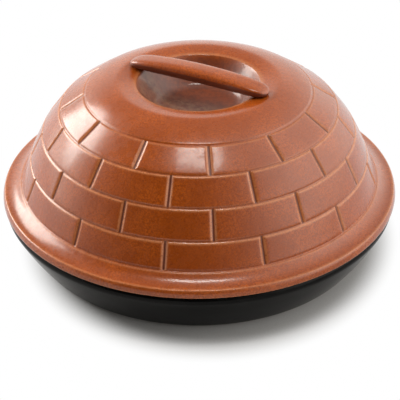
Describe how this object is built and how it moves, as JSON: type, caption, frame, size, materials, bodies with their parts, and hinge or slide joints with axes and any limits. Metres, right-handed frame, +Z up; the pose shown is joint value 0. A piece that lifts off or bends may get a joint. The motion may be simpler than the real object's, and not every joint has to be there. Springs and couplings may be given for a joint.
{
  "type": "stovetop pizza oven",
  "caption": "Round stoneware stovetop oven: shallow black base pan and a lift-off brown dome lid with a moulded brick pattern and a grip bar across a finger pocket.",
  "frame": {"origin": "on the table plane, under the centre of the round base", "axes": "+Z up along the axis of the base and lid; -Y is the side that faces the viewer in the picture, +X to the right"},
  "size_m": [0.31, 0.31, 0.1438],
  "materials": {
    "black_glaze": "satin",
    "brown_glaze": "satin gloss"
  },
  "bodies": {
    "base": {"base_pan": "black_glaze"},
    "lid": {"dome_lid": "brown_glaze", "lid_handle": "brown_glaze"}
  },
  "joints": [
    {"name": "lid_lift", "type": "slide", "parent": "base", "child": "lid", "axis": [0, 0, 1], "range_m": [0, 0.16]}
  ]
}
